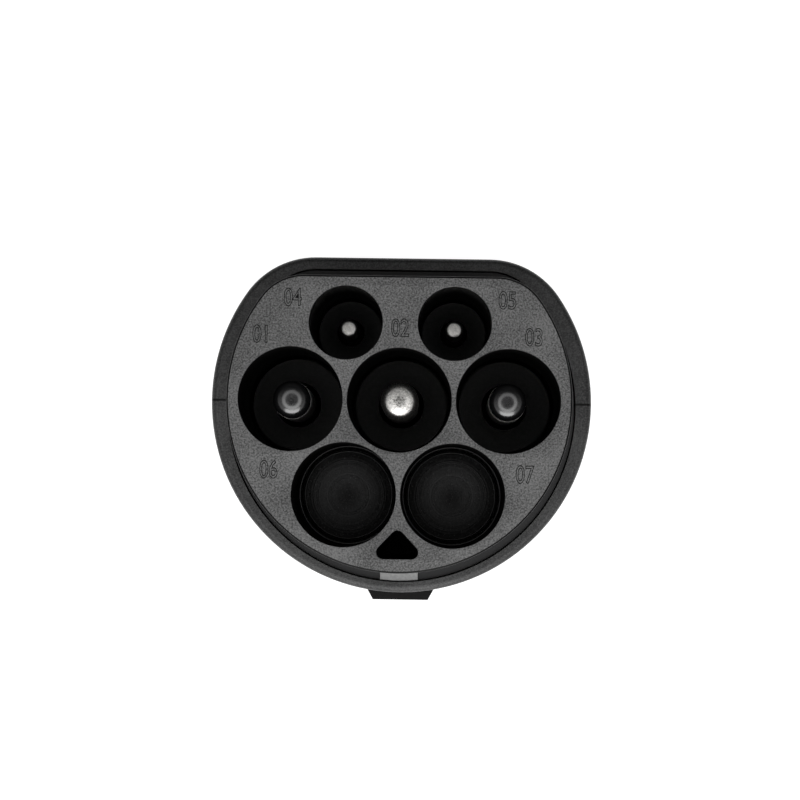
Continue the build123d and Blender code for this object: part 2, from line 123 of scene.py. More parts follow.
def turned_silver(name, axis, radius_mm, pit_and_shade_tone, marks_mm=0.12, pits_mm=0.26):
    """Silver plate on turned brass: dull white and greyer in the pits, with painted shade in the tip's
    middle and down its shank.
    """
    material, tree, shader, place = start_material(name, Metallic=1.0)
    _, radius = radius_about(tree, place, *axis)
    marks_stretch = 12
    # The tip is domed, and its colour is darker in the middle and lighter from half-way out: painted shade
    # over the middle of the tip, mottled grey by the pits
    shade_painted_in_middle = add_node(
        tree,
        "ShaderNodeMapRange",
        {"interpolation_type": "SMOOTHSTEP"},
        {
            "Value": radius,
            "From Min": 0.15 * radius_mm * MM,
            "From Max": 0.5 * radius_mm * MM,
            "To Max": 0.45,
        },
    )
    dome = add_node(tree, "ShaderNodeMath", {"operation": "POWER"}, {0: radius, 1: 2.0})
    marks = add_node(
        tree,
        "ShaderNodeTexNoise",
        inputs={
            "Vector": add_node(
                tree, "ShaderNodeMapping", inputs={"Vector": place, "Scale": (1, 1, marks_stretch)}
            ).outputs["Vector"],
            "Scale": 1 / (marks_mm * marks_stretch * MM),
            "Detail": 2,
        },
    )
    pits = add_node(
        tree,
        "ShaderNodeTexNoise",
        inputs={"Vector": place, "Scale": 1 / (pits_mm * MM), "Detail": 3, "Roughness": 0.7},
    )
    speckle = add_node(
        tree,
        "ShaderNodeMapRange",
        inputs={"Value": pits.outputs["Fac"], "From Min": 0.36, "From Max": 0.66, "To Max": 0.55},
    )
    bright = add_node(
        tree, "ShaderNodeMath", {"operation": "ADD"}, {0: speckle.outputs[0], 1: shade_painted_in_middle.outputs[0]}
    )
    tone = add_node(
        tree,
        "ShaderNodeMix",
        {"data_type": "RGBA"},
        {0: bright.outputs[0], 6: linear(pit_and_shade_tone), 7: linear("#f4f2ee")},
    )
    rough = add_node(
        tree,
        "ShaderNodeMapRange",
        inputs={"Value": pits.outputs["Fac"], "To Min": 0.42, "To Max": 0.24},
    )
    height = add_node(
        tree,
        "ShaderNodeMath",
        {"operation": "ADD"},
        {0: marks.outputs["Fac"], 1: pits.outputs["Fac"]},
    )
    domed = add_node(
        tree,
        "ShaderNodeBump",
        inputs={"Height": dome.outputs[0], "Distance": -1 / (2 * tip_dome_radius * MM)},
    )
    bump = add_node(
        tree,
        "ShaderNodeBump",
        inputs={
            "Height": height.outputs[0],
            "Distance": 0.04 * MM,
            "Strength": 0.8,
            "Normal": domed.outputs[0],
        },
    )
    spread = add_node(tree, "ShaderNodeSeparateXYZ", inputs={0: place})
    # Painted shade: below the well floors the plating darkens down the shank, where the bore shades it
    above_painted_shade = add_node(
        tree,
        "ShaderNodeMapRange",
        inputs={
            "Value": spread.outputs["Z"],
            "From Min": painted_shade_top_z * MM,
            "From Max": (painted_shade_top_z + painted_shade_fade) * MM,
        },
    )
    shaded_down_shank = add_node(
        tree,
        "ShaderNodeMix",
        {"data_type": "RGBA"},
        {0: above_painted_shade.outputs[0], 6: linear("#262422"), 7: tone.outputs[2]},
    )
    tree.links.new(shaded_down_shank.outputs[2], shader.inputs["Base Color"])
    tree.links.new(rough.outputs[0], shader.inputs["Roughness"])
    tree.links.new(bump.outputs[0], shader.inputs["Normal"])
    return material


def dress(node, material):
    """Gives a CAD node its finish."""
    cad[node].data.materials.clear()
    cad[node].data.materials.append(material)


# One silver plate on every contact, with a darker tone that also greys the pits. That tone is set by kind:
# darker on the earth tip, as painted shade, and lighter on the signal tips, as painted light
contact_finishes = {
    "power": ((pitch, 0), power_pin_radius, "#8f8d89", ("line_contact", "neutral_contact")),
    "earth": ((0, 0), power_pin_radius, "#424240", ("earth_contact",)),
    "signal": (
        (pitch / 2, small_row_y), signal_pin_radius, "#b4b3af", ("detect_contact", "pilot_contact")
    ),
}
for kind, (axis, radius_mm, pit_and_shade_tone, contacts) in contact_finishes.items():
    silver = turned_silver("turned_silver_plate_" + kind, axis, radius_mm, pit_and_shade_tone)
    for contact in contacts:
        dress(contact, silver)


# Tip caps
# Black polyamide caps, moulded and pressed on the line and neutral contacts, which keep a
# finger off the metal. They are polished, with a small gate mark in the middle of the top.
cap_base_z, cap_top_z, cap_radius = 109.5, 114.0, 2.92
cap_flat_radius, cap_rise, cap_steps = 0.7, 0.6, 20
gate_outer, gate_inner, gate_slope, gate_depth = 0.42, 0.14, 0.06, 0.12
turning_steps = 96
sharp_degrees = 40


def link_mesh(name, bm):
    """Makes an object of a finished bmesh, smooth but for its sharp edges."""
    bmesh.ops.recalc_face_normals(bm, faces=bm.faces)
    mesh = bpy.data.meshes.new(name)
    bm.to_mesh(mesh)
    bm.free()
    mesh.shade_smooth()
    mesh.set_sharp_from_angle(angle=math.radians(sharp_degrees))
    piece = bpy.data.objects.new(name, mesh)
    bpy.context.scene.collection.objects.link(piece)
    return piece


def turned(name, profile, places):
    """A closed turned piece at each place: the profile's (radius, height) pairs spun about it."""
    bm = bmesh.new()
    for x, y in places:
        rings = []
        for radius, z in profile:
            count = turning_steps if radius else 1
            turns = [2 * math.pi * k / count for k in range(count)]
            rings.append(
                [
                    bm.verts.new((Vector((x, y, z)) + radius * Vector((math.cos(t), math.sin(t), 0))) * MM)
                    for t in turns
                ]
            )
        for lower, upper in zip(rings, rings[1:]):
            for k in range(turning_steps):
                after = (k + 1) % turning_steps
                corners = [lower[k % len(lower)], lower[after % len(lower)]]
                corners += [upper[after % len(upper)], upper[k % len(upper)]]
                bm.faces.new(dict.fromkeys(corners))
    return link_mesh(name, bm)


def quarter_turn(centre_radius, centre_z, size, steps=8, rise=1.0):
    """Points of a rounded edge, from its side up to its top, flattened where rise is under 1."""
    turns = [math.pi / 2 * k / steps for k in range(steps + 1)]
    return [(centre_radius + size * math.cos(t), centre_z + rise * size * math.sin(t)) for t in turns]


def finish(piece, material, slot, *replaced):
    """Puts a piece on the body, in the place of CAD nodes. A piece keeps a material that it has."""
    if not piece.data.materials:
        piece.data.materials.append(material)
    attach(piece, "root")
    if replaced:
        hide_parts(*replaced)


def polished_polyamide(name):
    """Black polyamide from a polished cavity: near mirror-smooth, with faint flow marks."""
    material, tree, shader, place = start_material(
        name,
        Base_Color=linear("#0c0c0d"),
        IOR=1.6,
        Specular_IOR_Level=0.8,
        Coat_Weight=0.6,
        Coat_Roughness=0.14,
    )
    flow = add_node(
        tree,
        "ShaderNodeTexNoise",
        inputs={"Vector": place, "Scale": 1 / (0.8 * MM), "Detail": 4, "Distortion": 0.6},
    )
    rough = add_node(
        tree,
        "ShaderNodeMapRange",
        inputs={"Value": flow.outputs["Fac"], "To Min": 0.16, "To Max": 0.3},
    )
    bump = add_node(
        tree,
        "ShaderNodeBump",
        inputs={"Height": flow.outputs["Fac"], "Distance": 0.02 * MM, "Strength": 0.5},
    )
    tree.links.new(rough.outputs[0], shader.inputs["Roughness"])
    tree.links.new(bump.outputs[0], shader.inputs["Normal"])
    return material


cap_round = cap_radius - cap_flat_radius
cap_profile = [(0, cap_base_z), (cap_radius, cap_base_z)]
cap_profile += quarter_turn(
    cap_flat_radius, cap_top_z - cap_rise * cap_round, cap_round, cap_steps, cap_rise
)
cap_profile += [(gate_outer, cap_top_z), (gate_outer - gate_slope, cap_top_z - gate_depth)]
cap_profile += [(gate_inner + gate_slope, cap_top_z - gate_depth), (gate_inner, cap_top_z)]
cap_profile += [(0, cap_top_z)]
cap_gloss = polished_polyamide("polished_black_polyamide")
for side, cap_node in ((-1, "line_tip_cap"), (1, "neutral_tip_cap")):
    cap = turned(cap_node + "_moulding", cap_profile, [(side * pitch, 0)])
    finish(cap, cap_gloss, "cap_plastic", cap_node)


# Contact carrier
# Glass-filled black polyamide, moulded. Its bosses close the bottoms of the wells round the
# contacts. The moulded pieces' grain is about 0.1 mm, too fine to show, so it is drawn coarser.
def moulded_polyamide(name, colour, lighter, *, grain_mm, depth_mm, rough, shine=0.5):
    """Polyamide from a textured cavity: an even fine grain, with slight cloudiness from the flow."""
    material, tree, shader, place = start_material(name, IOR=1.5, Specular_IOR_Level=shine)
    grain = add_node(
        tree,
        "ShaderNodeTexNoise",
        inputs={"Vector": place, "Scale": 1 / (grain_mm * MM), "Detail": 3, "Roughness": 0.65},
    )
    cloud = add_node(
        tree,
        "ShaderNodeTexNoise",
        inputs={"Vector": place, "Scale": 1 / (9 * MM), "Detail": 4},
    )
    blend = add_node(
        tree,
        "ShaderNodeMath",
        {"operation": "MULTIPLY_ADD"},
        {0: cloud.outputs["Fac"], 1: 0.35, 2: grain.outputs["Fac"]},
    )
    share = add_node(
        tree,
        "ShaderNodeMapRange",
        inputs={"Value": blend.outputs[0], "From Min": 0.53, "From Max": 0.82},
    )
    tone = add_node(
        tree,
        "ShaderNodeMix",
        {"data_type": "RGBA"},
        {0: share.outputs[0], 6: linear(colour), 7: linear(lighter)},
    )
    smoother, rougher = rough
    dullness = add_node(
        tree,
        "ShaderNodeMapRange",
        inputs={"Value": grain.outputs["Fac"], "To Min": rougher, "To Max": smoother},
    )
    bump = add_node(
        tree,
        "ShaderNodeBump",
        inputs={"Height": grain.outputs["Fac"], "Distance": depth_mm * MM, "Strength": 0.8},
    )
    tree.links.new(tone.outputs[2], shader.inputs["Base Color"])
    tree.links.new(dullness.outputs[0], shader.inputs["Roughness"])
    tree.links.new(bump.outputs[0], shader.inputs["Normal"])
    return material


well_black = moulded_polyamide(
    "moulded_black_polyamide",
    "#070707",
    "#131313",
    grain_mm=0.5,
    depth_mm=0.02,
    rough=(0.3, 0.45),
    shine=0.25,
)
dress("contact_carrier", well_black)


# Blanking plugs
# Turned discs of black polyamide in the two wells without contacts, each on a stem in the
# carrier. A thin skirt closes the gap to the well with a cove, and the face shows lathe rings.
blanks_y = -14.838
plug_foot_z, plug_step_z, plug_top_z = 73.0, 77.0, 87.0
plug_stem_radius, plug_radius, plug_rim = 4.0, 7.42, 0.22
plug_skirt, plug_cove, cove_steps = 8.08, 0.6, 6
groove_width, groove_depth = 0.03, 0.3
lip_width, lip_drop = 0.12, 0.01
dish_width, dish_drop, dish_depth = 0.3, 0.12, 0.25
ring_spacing = 0.22

rim_radius = plug_radius - plug_rim
plug_profile = [(0, plug_foot_z), (plug_stem_radius, plug_foot_z), (plug_stem_radius, plug_step_z)]
plug_profile += [(plug_skirt, plug_step_z), (plug_skirt, plug_top_z + plug_cove)]
plug_profile += [
    (plug_skirt - plug_cove * math.sin(t), plug_top_z + plug_cove * math.cos(t))
    for t in (math.pi / 2 * k / cove_steps for k in range(1, cove_steps))
]
plug_profile += [(plug_radius + groove_width, plug_top_z - groove_depth)]
plug_profile += [(plug_radius, plug_top_z - groove_depth)]
plug_profile += quarter_turn(rim_radius, plug_top_z - plug_rim, plug_rim)
plug_profile += [(rim_radius - lip_width, plug_top_z - lip_drop)]
plug_profile += [(rim_radius - dish_width, plug_top_z - dish_drop), (0, plug_top_z - dish_depth)]


def turned_polyamide(name, axis, ring_mm):
    """Polyamide faced on a lathe: fine rings, which smear highlights into wedges, and grey dust."""
    material, tree, shader, place = start_material(
        name, IOR=1.53, Specular_IOR_Level=0.3, Anisotropic=0.85
    )
    centred, radius = radius_about(tree, place, *axis)
    crossed = add_node(
        tree, "ShaderNodeVectorMath", {"operation": "CROSS_PRODUCT"}, {0: centred, 1: (0, 0, 1)}
    )
    along_rings = add_node(
        tree, "ShaderNodeVectorMath", {"operation": "NORMALIZE"}, {0: crossed.outputs[0]}
    )
    rings = add_node(
        tree,
        "ShaderNodeTexNoise",
        {"noise_dimensions": "1D"},
        {"W": radius, "Scale": 1 / (ring_mm * MM), "Detail": 2},
    )
    dust = add_node(
        tree,
        "ShaderNodeTexNoise",
        inputs={"Vector": place, "Scale": 1 / (0.3 * MM), "Detail": 4, "Roughness": 0.7},
    )
    specks = add_node(
        tree,
        "ShaderNodeMapRange",
        inputs={"Value": dust.outputs["Fac"], "From Min": 0.56, "From Max": 0.8},
    )
    tone = add_node(
        tree,
        "ShaderNodeMix",
        {"data_type": "RGBA"},
        {0: specks.outputs[0], 6: linear("#050505"), 7: linear("#707070")},
    )
    rough = add_node(
        tree,
        "ShaderNodeMapRange",
        inputs={"Value": dust.outputs["Fac"], "To Min": 0.24, "To Max": 0.42},
    )
    bump = add_node(
        tree,
        "ShaderNodeBump",
        inputs={"Height": rings.outputs["Fac"], "Distance": 0.02 * MM, "Strength": 0.7},
    )
    tree.links.new(along_rings.outputs[0], shader.inputs["Tangent"])
    tree.links.new(tone.outputs[2], shader.inputs["Base Color"])
    tree.links.new(rough.outputs[0], shader.inputs["Roughness"])
    tree.links.new(bump.outputs[0], shader.inputs["Normal"])
    return material


plug_black = turned_polyamide("turned_black_polyamide", (pitch / 2, blanks_y), ring_spacing)
plugs = turned("blank_plug_discs", plug_profile, [(-pitch / 2, blanks_y), (pitch / 2, blanks_y)])
finish(plugs, plug_black, "well_plastic", "blank_plugs")


# Nose housing
# One moulding of glass-filled polyamide, with a spark-eroded grain on its face only. Seven wells
# and a drain hole go through it, and a screwed flange holds its root behind the body's rib.
face_z, flange_z = 117.85, 81.0
nose_radius, nose_flat_y, nose_corner = 27.0, 19.4, 8.2
nose_edge, well_edge = 0.3, 0.1
power_well, signal_well = 8.1, 5.7
drain_top_y, drain_bottom_y, drain_half, drain_corner = -19.9, -24.7, 4.5, 1.0
corner_steps, belly_steps, edge_steps = 20, 140, 5


def d_outline(radius, flat_y, corner):
    """Gives the points of a D outline for an offset, anticlockwise from the left end of its flat."""

    def points(offset):
        big, round_off = radius + offset, corner + offset
        corner_y = flat_y + offset - round_off
        corner_x = math.sqrt((big - round_off) ** 2 - corner_y**2)
        lean = math.atan2(corner_y, corner_x)
        bend, sweep = math.pi / 2 - lean, math.pi + 2 * lean
        left = [math.pi / 2 + bend * k / corner_steps for k in range(corner_steps + 1)]
        belly = [math.pi - lean + sweep * k / belly_steps for k in range(1, belly_steps)]
        right = [lean + bend * k / corner_steps for k in range(corner_steps + 1)]
        arcs = [(-corner_x, corner_y, round_off, left), (0, 0, big, belly)]
        arcs += [(corner_x, corner_y, round_off, right)]
        return [(x + r * math.cos(t), y + r * math.sin(t)) for x, y, r, turns in arcs for t in turns]

    return points


def round_outline(x, y, radius):
    """Gives the points of a round outline for an offset."""
    turns = [2 * math.pi * k / turning_steps for k in range(turning_steps)]
    return lambda offset: [
        (x + (radius + offset) * math.cos(t), y + (radius + offset) * math.sin(t)) for t in turns
    ]


def rounded_polygon(corners, size, steps=8):
    """Gives the points of a polygon with rounded corners, for an offset, anticlockwise."""

    def points(offset):
        out = []
        count, reach = len(corners), size + offset
        for k in range(count):
            before, here, after = (Vector(corners[(k + d) % count]) for d in (-1, 0, 1))
            into, away = (here - before).normalized(), (after - here).normalized()
            half = math.acos(max(-1, min(1, into.dot(away)))) / 2
            middle = here + (away - into).normalized() * (size / math.cos(half))
            start = math.atan2(-into.x, into.y)
            for s in range(steps + 1):
                t = start + math.pi + 2 * half * s / steps
                out.append((middle.x - reach * math.cos(t), middle.y - reach * math.sin(t)))
        return out

    return points


def pierced_block(name, outline, holes, top_z, bottom_z, edge, hole_edge, wall_finish=1, sunk=None):
    """A block with rounded top edges and holes, which go through it or end at the height in sunk."""
    bm = bmesh.new()

    def ring(points, z):
        return [bm.verts.new((x * MM, y * MM, z * MM)) for x, y in points]

    def wall(rings):
        for lower, upper in zip(rings, rings[1:]):
            for k in range(len(lower)):
                after = (k + 1) % len(lower)
                face = bm.faces.new((lower[k], lower[after], upper[after], upper[k]))
                face.material_index = wall_finish

    def lid(rings):
        flat = [v for each in rings for v in each]
        for corners in tessellate_polygon([[v.co for v in each] for each in rings]):
            bm.faces.new([flat[c] for c in corners])

    def edge_and_wall(points, size, sign, end_z):
        """A rounded top edge and the wall below it, given back as their first and last rings."""
        turns = [math.pi / 2 * k / edge_steps for k in range(edge_steps + 1)]
        rings = [
            ring(points(-sign * size * (1 - math.sin(t))), top_z - size * (1 - math.cos(t))) for t in turns
        ]
        rings.append(ring(points(0), end_z))
        wall(rings)
        return rings[0], rings[-1]

    top, bottom = edge_and_wall(outline, edge, 1, bottom_z)
    tops, bottoms = [top], [bottom]
    for hole in holes:
        top, bottom = edge_and_wall(hole, hole_edge, -1, bottom_z if sunk is None else sunk)
        tops.append(top)
        if sunk is None:
            bottoms.append(bottom)
        else:
            lid([bottom])
    lid(tops)
    lid(bottoms)
    return link_mesh(name, bm)


nose_outline = d_outline(nose_radius, nose_flat_y, nose_corner)
drain_corners = [(0, drain_top_y), (-drain_half, drain_bottom_y), (drain_half, drain_bottom_y)]
wells = [round_outline(x, y, power_well) for x, y in ((-pitch, 0), (0, 0), (pitch, 0))]
wells += [round_outline(side * pitch / 2, blanks_y, power_well) for side in (-1, 1)]
wells += [round_outline(side * pitch / 2, small_row_y, signal_well) for side in (-1, 1)]
wells.append(rounded_polygon(drain_corners, drain_corner))
nose = pierced_block("nose_moulding", nose_outline, wells, face_z, flange_z, nose_edge, well_edge)
# The walls of the nose and its wells come smooth from the tool, and their colour is also painted darker than
# the face: painted shade down the wells, and a painted dark line on the rounded edges round the face and the
# wells
wall_black_and_painted_shade = moulded_polyamide(
    "smooth_wall_polyamide_with_painted_shade",
    "#030303",
    "#0a0a0a",
    grain_mm=0.5,
    depth_mm=0.01,
    rough=(0.35, 0.5),
    shine=0.12,
)
eroded_black = moulded_polyamide(
    "spark_eroded_black_polyamide",
    "#262626",
    "#6b6b6b",
    grain_mm=0.28,
    depth_mm=0.05,
    rough=(0.42, 0.62),
)
finish(nose, eroded_black, "nose_plastic", "nose_housing")
nose.data.materials.append(wall_black_and_painted_shade)
dress("nose_flange", eroded_black)


# Contact numbers
# Each well is numbered on the nose face. The figures are raised in the same moulding. A thin dark sheet, a
# little wider than each figure, lies under it and draws a painted shade line round its edges.
number_height, number_narrow, number_proud = 2.72, 0.74, 0.13
shade_outline_width, number_thin, shade_outline_proud = 0.085, -0.065, 0.03
number_foot_z = face_z - 0.02
# A figure of this font is 0.7 of its size tall
figure_share = 0.7
numbers = {
    "01": (-21.6, 9.9),
    "02": (0, 11.1),
    "03": (20.9, 9.9),
    "04": (-16.8, 15.7),
    "05": (16.7, 15.6),
    "06": (-20.2, -11.2),
    "07": (19.7, -11.5),
}


def raised_text(name, figures, place, thicken, proud):
    """Narrow figures as a mesh, proud of the height in place, with strokes wider by thicken."""
    lettering = bpy.data.curves.new(name, "FONT")
    lettering.body = figures
    lettering.align_x, lettering.align_y = "CENTER", "CENTER"
    lettering.size = number_height / figure_share * MM
    lettering.offset = thicken * MM
    lettering.extrude = proud / 2 * MM
    source = bpy.data.objects.new("text_source", lettering)
    bpy.context.scene.collection.objects.link(source)
    graph = bpy.context.evaluated_depsgraph_get()
    mesh = bpy.data.meshes.new_from_object(source.evaluated_get(graph))
    bpy.data.objects.remove(source)
    x, y, z = place
    mesh.transform(
        Matrix.Translation(Vector((x, y, z + proud / 2)) * MM) @ Matrix.Diagonal((number_narrow, 1, 1, 1))
    )
    piece = bpy.data.objects.new(name, mesh)
    bpy.context.scene.collection.objects.link(piece)
    return piece


shade_outline_black = moulded_polyamide(
    "black_polyamide_as_painted_shade",
    "#0a0a0a",
    "#181818",
    grain_mm=0.3,
    depth_mm=0.02,
    rough=(0.5, 0.6),
    shine=0.15,
)
for figures, (x, y) in numbers.items():
    foot = (x, y, number_foot_z)
    shade_outline = raised_text("number_painted_shade_" + figures, figures, foot, shade_outline_width, shade_outline_proud)
    finish(shade_outline, shade_outline_black, "nose_plastic")
    number = raised_text("contact_number_" + figures, figures, foot, number_thin, number_proud)
    finish(number, eroded_black, "nose_plastic")


# Clamp plate and the screws inside
# A moulded polyamide plate is screwed to the carrier and holds the contacts by their collars.
# The screws are zinc plated steel, bright with a faint blue cast, and rolled, not cut.
def zinc_plated_steel(name):
    """Zinc plate on rolled steel: a bluish white metal with cloudy patches of duller passivation."""
    material, tree, shader, place = start_material(name, Metallic=1.0)
    patches = add_node(
        tree,
        "ShaderNodeTexNoise",
        inputs={"Vector": place, "Scale": 1 / (1.1 * MM), "Detail": 4, "Roughness": 0.6},
    )
    tone = add_node(
        tree,
        "ShaderNodeMix",
        {"data_type": "RGBA"},
        {0: patches.outputs["Fac"], 6: linear("#8f949b"), 7: linear("#c3c6ca")},
    )
    rough = add_node(
        tree,
        "ShaderNodeMapRange",
        inputs={"Value": patches.outputs["Fac"], "To Min": 0.45, "To Max": 0.25},
    )
    bump = add_node(
        tree,
        "ShaderNodeBump",
        inputs={"Height": patches.outputs["Fac"], "Distance": 0.02 * MM, "Strength": 0.4},
    )
    tree.links.new(tone.outputs[2], shader.inputs["Base Color"])
    tree.links.new(rough.outputs[0], shader.inputs["Roughness"])
    tree.links.new(bump.outputs[0], shader.inputs["Normal"])
    return material


zinc = zinc_plated_steel("zinc_plated_steel")
dress("clamp_plate", well_black)
dress("carrier_screws", zinc)
dress("clamp_screws", zinc)


# Coding board and resistor
# A small glass-epoxy board with green solder resist, threaded on two contacts, carries the
# lacquered resistor that tells the vehicle which cable is plugged in.
def solder_resist(name):
    """Green solder resist over woven glass: glossy, with the weave showing as a fine chequer."""
    material, tree, shader, place = start_material(name, IOR=1.5, Coat_Weight=0.4, Coat_Roughness=0.12)
    weave = add_node(
        tree,
        "ShaderNodeTexChecker",
        inputs={
            "Vector": place,
            "Scale": 1 / (0.5 * MM),
            "Color1": linear("#0f4a2a"),
            "Color2": linear("#14562f"),
        },
    )
    waves = add_node(
        tree, "ShaderNodeTexNoise", inputs={"Vector": place, "Scale": 1 / (0.5 * MM), "Detail": 2}
    )
    rough = add_node(
        tree,
        "ShaderNodeMapRange",
        inputs={"Value": waves.outputs["Fac"], "To Min": 0.2, "To Max": 0.35},
    )
    bump = add_node(
        tree,
        "ShaderNodeBump",
        inputs={"Height": waves.outputs["Fac"], "Distance": 0.02 * MM, "Strength": 0.5},
    )
    tree.links.new(weave.outputs["Color"], shader.inputs["Base Color"])
    tree.links.new(rough.outputs[0], shader.inputs["Roughness"])
    tree.links.new(bump.outputs[0], shader.inputs["Normal"])
    return material


def resistor_lacquer(name, band_start, band_gap):
    """Pale blue lacquer on a metal-film resistor, with its colour bands."""
    material, tree, shader, place = start_material(name, IOR=1.5, Coat_Weight=0.3, Coat_Roughness=0.1)
    along = add_node(tree, "ShaderNodeSeparateXYZ", inputs={0: place})
    step = add_node(
        tree,
        "ShaderNodeMapRange",
        inputs={
            "Value": along.outputs["X"],
            "From Min": band_start * MM,
            "From Max": (band_start + 6 * band_gap) * MM,
        },
    )
    bands = add_node(tree, "ShaderNodeValToRGB", inputs={0: step.outputs[0]})
    bands.color_ramp.interpolation = "CONSTANT"
    ramp = bands.color_ramp.elements
    lacquer, band_width = linear("#7fa3b8"), 0.08
    ramp[0].color = lacquer
    ramp[1].position, ramp[1].color = 0.95, lacquer
    for at, colour in ((0.12, "#b23b22"), (0.32, "#5b3a21"), (0.52, "#141414"), (0.78, "#a5812c")):
        ramp.new(at).color = linear(colour)
        ramp.new(at + band_width).color = lacquer
    runs = add_node(
        tree, "ShaderNodeTexNoise", inputs={"Vector": place, "Scale": 1 / (0.9 * MM), "Detail": 2}
    )
    rough = add_node(
        tree,
        "ShaderNodeMapRange",
        inputs={"Value": runs.outputs["Fac"], "To Min": 0.22, "To Max": 0.36},
    )
    bump = add_node(
        tree,
        "ShaderNodeBump",
        inputs={"Height": runs.outputs["Fac"], "Distance": 0.05 * MM, "Strength": 0.4},
    )
    tree.links.new(bands.outputs["Color"], shader.inputs["Base Color"])
    tree.links.new(rough.outputs[0], shader.inputs["Roughness"])
    tree.links.new(bump.outputs[0], shader.inputs["Normal"])
    return material


dress("coding_board", solder_resist("green_solder_resist"))
dress("coding_resistor", resistor_lacquer("blue_resistor_lacquer", band_start=-2.75, band_gap=1.08))


# Inlet housing
# The charger end is a collar of glass-filled polyamide, moulded with a proud rim that the
# adapter stands on. It has the same fine grain as the shells.
shell_black = moulded_polyamide(
    "grained_black_polyamide",
    "#101010",
    "#3e3e3e",
    grain_mm=0.28,
    depth_mm=0.03,
    rough=(0.4, 0.6),
)
dress("inlet_housing", shell_black)


# Inlet insert
# A smooth moulding of black polyamide, with seven wells for the gun's sleeves. It hangs from a
# plate that lies on the ledge inside the collar.
dress("inlet_insert", well_black)


# Seals and their retainer
# Black rubber rings keep water out round the spigot and each contact. A moulded polyamide plate
# holds the small rings in their pockets.
def moulded_rubber(name, colour, lighter):
    """Moulded rubber: matt black, greyed by a dusty bloom, and faintly rippled."""
    material, tree, shader, place = start_material(name, IOR=1.52, Sheen_Weight=0.15, Sheen_Roughness=0.5)
    bloom = add_node(
        tree,
        "ShaderNodeTexNoise",
        inputs={"Vector": place, "Scale": 1 / (1.6 * MM), "Detail": 5, "Roughness": 0.7},
    )
    tone = add_node(
        tree,
        "ShaderNodeMix",
        {"data_type": "RGBA"},
        {0: bloom.outputs["Fac"], 6: linear(colour), 7: linear(lighter)},
    )
    rough = add_node(
        tree,
        "ShaderNodeMapRange",
        inputs={"Value": bloom.outputs["Fac"], "To Min": 0.62, "To Max": 0.82},
    )
    bump = add_node(
        tree,
        "ShaderNodeBump",
        inputs={"Height": bloom.outputs["Fac"], "Distance": 0.05 * MM, "Strength": 0.5},
    )
    tree.links.new(tone.outputs[2], shader.inputs["Base Color"])
    tree.links.new(rough.outputs[0], shader.inputs["Roughness"])
    tree.links.new(bump.outputs[0], shader.inputs["Normal"])
    return material


rubber = moulded_rubber("moulded_black_rubber", "#101011", "#1e1e1f")
dress("inlet_seal", rubber)
dress("contact_seals", rubber)
dress("seal_retainer", well_black)


# Nose gasket and locating key
# The gasket is a rubber ring in the body's mouth. The key is light grey polyamide, left
# unpainted, and fills the notch at the bottom of the gasket.
dress("nose_gasket", rubber)
key_grey = moulded_polyamide(
    "moulded_grey_polyamide",
    "#848484",
    "#969696",
    grain_mm=0.4,
    depth_mm=0.01,
    rough=(0.5, 0.6),
)
dress("locating_key", key_grey)


# Shells
# The body is two mouldings of glass-filled polyamide that meet on a seam at mid-height, with
# grooves for the fingers on both sides and a keel under the lower one.
seam_y, seam_width = 0.6, 0.24
shaded_keel_y, keel_shade_fade = -31.2, 0.3


def darken_joint_and_paint_keel_shade(material):
    """Darkens the shells along their joint, as a fine gap's shadow does, and paints shade on the underside
    of the keel.
    """
    tree = material.node_tree
    shader = tree.nodes["Principled BSDF"]
    tone = shader.inputs["Base Color"].links[0].from_socket
    place = add_node(tree, "ShaderNodeTexCoord").outputs["Object"]
    spread = add_node(tree, "ShaderNodeSeparateXYZ", inputs={0: place})
    offset = add_node(
        tree, "ShaderNodeMath", {"operation": "SUBTRACT"}, {0: spread.outputs["Y"], 1: seam_y * MM}
    )
    distance = add_node(tree, "ShaderNodeMath", {"operation": "ABSOLUTE"}, {0: offset.outputs[0]})
    share = add_node(
        tree,
        "ShaderNodeMapRange",
        {"interpolation_type": "SMOOTHSTEP"},
        {
            "Value": distance.outputs[0],
            "From Min": 0.5 * seam_width * MM,
            "From Max": seam_width * MM,
        },
    )
    # Painted shade: the keel's underside is darkened and its shine lowered
    above_keel_shade = add_node(
        tree,
        "ShaderNodeMapRange",
        inputs={
            "Value": spread.outputs["Y"],
            "From Min": shaded_keel_y * MM,
            "From Max": (shaded_keel_y + keel_shade_fade) * MM,
        },
    )
    neither_joint_nor_keel = add_node(
        tree, "ShaderNodeMath", {"operation": "MULTIPLY"}, {0: share.outputs[0], 1: above_keel_shade.outputs[0]}
    )
    joint_and_keel_shade = add_node(
        tree,
        "ShaderNodeMix",
        {"data_type": "RGBA"},
        {0: neither_joint_nor_keel.outputs[0], 6: linear("#0a0a0a"), 7: tone},
    )
    shine = add_node(
        tree, "ShaderNodeMapRange", inputs={"Value": neither_joint_nor_keel.outputs[0], "To Min": 0.15, "To Max": 0.5}
    )
    tree.links.new(joint_and_keel_shade.outputs[2], shader.inputs["Base Color"])
    tree.links.new(shine.outputs[0], shader.inputs["Specular IOR Level"])


joint_and_keel_shaded_black = shell_black.copy()
joint_and_keel_shaded_black.name = "grained_black_polyamide_with_joint_and_keel_shade"
darken_joint_and_paint_keel_shade(joint_and_keel_shaded_black)
dress("upper_shell", joint_and_keel_shaded_black)
dress("lower_shell", joint_and_keel_shaded_black)


